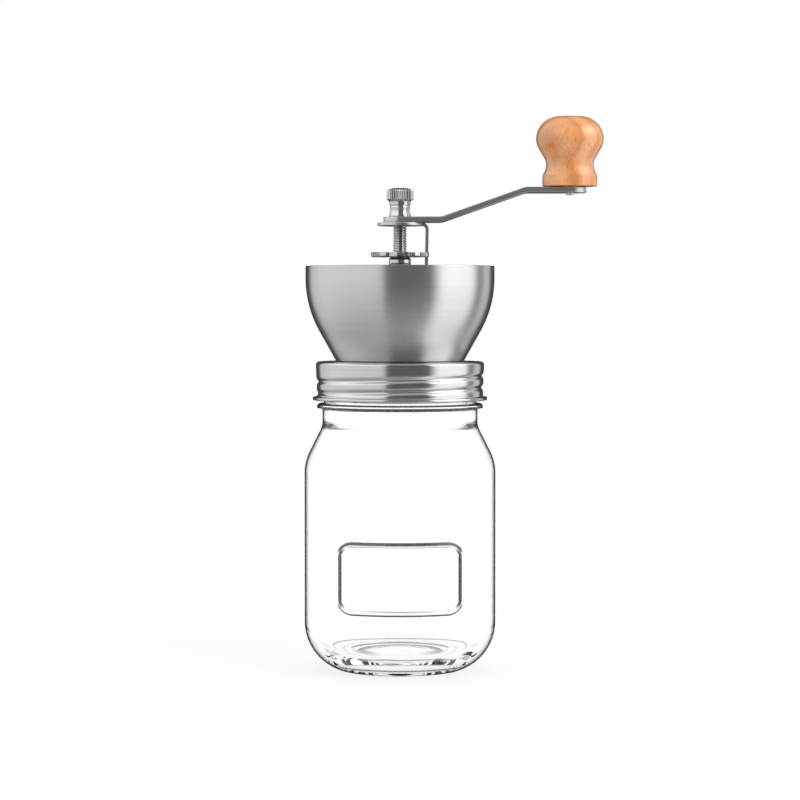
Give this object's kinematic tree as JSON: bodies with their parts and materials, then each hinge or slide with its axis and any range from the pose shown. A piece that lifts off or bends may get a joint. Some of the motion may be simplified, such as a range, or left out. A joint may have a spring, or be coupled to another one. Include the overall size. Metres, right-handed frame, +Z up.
{
  "type": "hand crank coffee grinder",
  "caption": "Hand crank coffee grinder: a spun steel hopper with a conical burr set, screwed onto a clear glass jar, driven by a bent crank arm with a turned wooden knob.",
  "frame": {"origin": "centre of the jar's foot, on the surface that it stands on", "axes": "+Z up along the drive shaft, +X from the shaft towards the knob at rest"},
  "size_m": [0.1314, 0.0846, 0.2429],
  "materials": {
    "glass": "clear, moulded",
    "stainless_sheet": "brushed",
    "turned_steel": "turned, bright",
    "wood": "turned, satin lacquer",
    "nylon": "moulded, matt",
    "bush_nylon": "moulded, matt",
    "ceramic": "sintered, matt",
    "silicone": "matt"
  },
  "bodies": {
    "jar": {"jar": "glass"},
    "seal": {"jar_seal": "silicone"},
    "head": {"screw_band": "stainless_sheet", "hopper_bowl": "stainless_sheet", "shaft_support": "nylon", "upper_bush": "bush_nylon", "lower_bush": "bush_nylon", "thrust_washer": "turned_steel", "spring_washer": "turned_steel", "clamp_screws": "turned_steel", "burr_housing": "nylon", "outer_burr": "ceramic"},
    "adjuster": {"adjusting_nut": "turned_steel"},
    "shaft": {"drive_shaft": "turned_steel", "lock_plate": "stainless_sheet", "crank_arm": "stainless_sheet", "thumb_nut": "turned_steel", "inner_burr": "ceramic", "burr_carrier": "nylon", "burr_nut": "turned_steel", "burr_spring": "turned_steel", "knob_axle": "turned_steel", "knob_washer": "turned_steel"},
    "knob": {"knob": "wood", "knob_plug": "wood"}
  },
  "joints": [
    {"name": "head_rise", "type": "slide", "parent": "jar", "child": "seal", "axis": [0, 0, 1], "range_m": [0, 0.00635]},
    {"name": "head_turn", "type": "hinge", "parent": "seal", "child": "head", "pos_m": [0, 0, 0.1334], "axis": [0, 0, 1], "range_deg": [0, 450]},
    {"name": "crank_turn", "type": "hinge", "parent": "head", "child": "adjuster", "pos_m": [0, 0, 0.1774], "axis": [0, 0, 1], "continuous": true},
    {"name": "grind_adjust", "type": "slide", "parent": "adjuster", "child": "shaft", "axis": [0, 0, 1], "range_m": [0, 0.0012], "stiffness_N_per_m": 300, "springref_m": -0.005, "deforming": ["burr_spring"]},
    {"name": "knob_spin", "type": "hinge", "parent": "shaft", "child": "knob", "pos_m": [0.0745, 0, 0.21225], "axis": [0, 0, 1], "continuous": true}
  ],
  "couplings": [
    {"joint": "head_rise", "follows": "head_turn", "m_per_rad": 0.0008085}
  ]
}
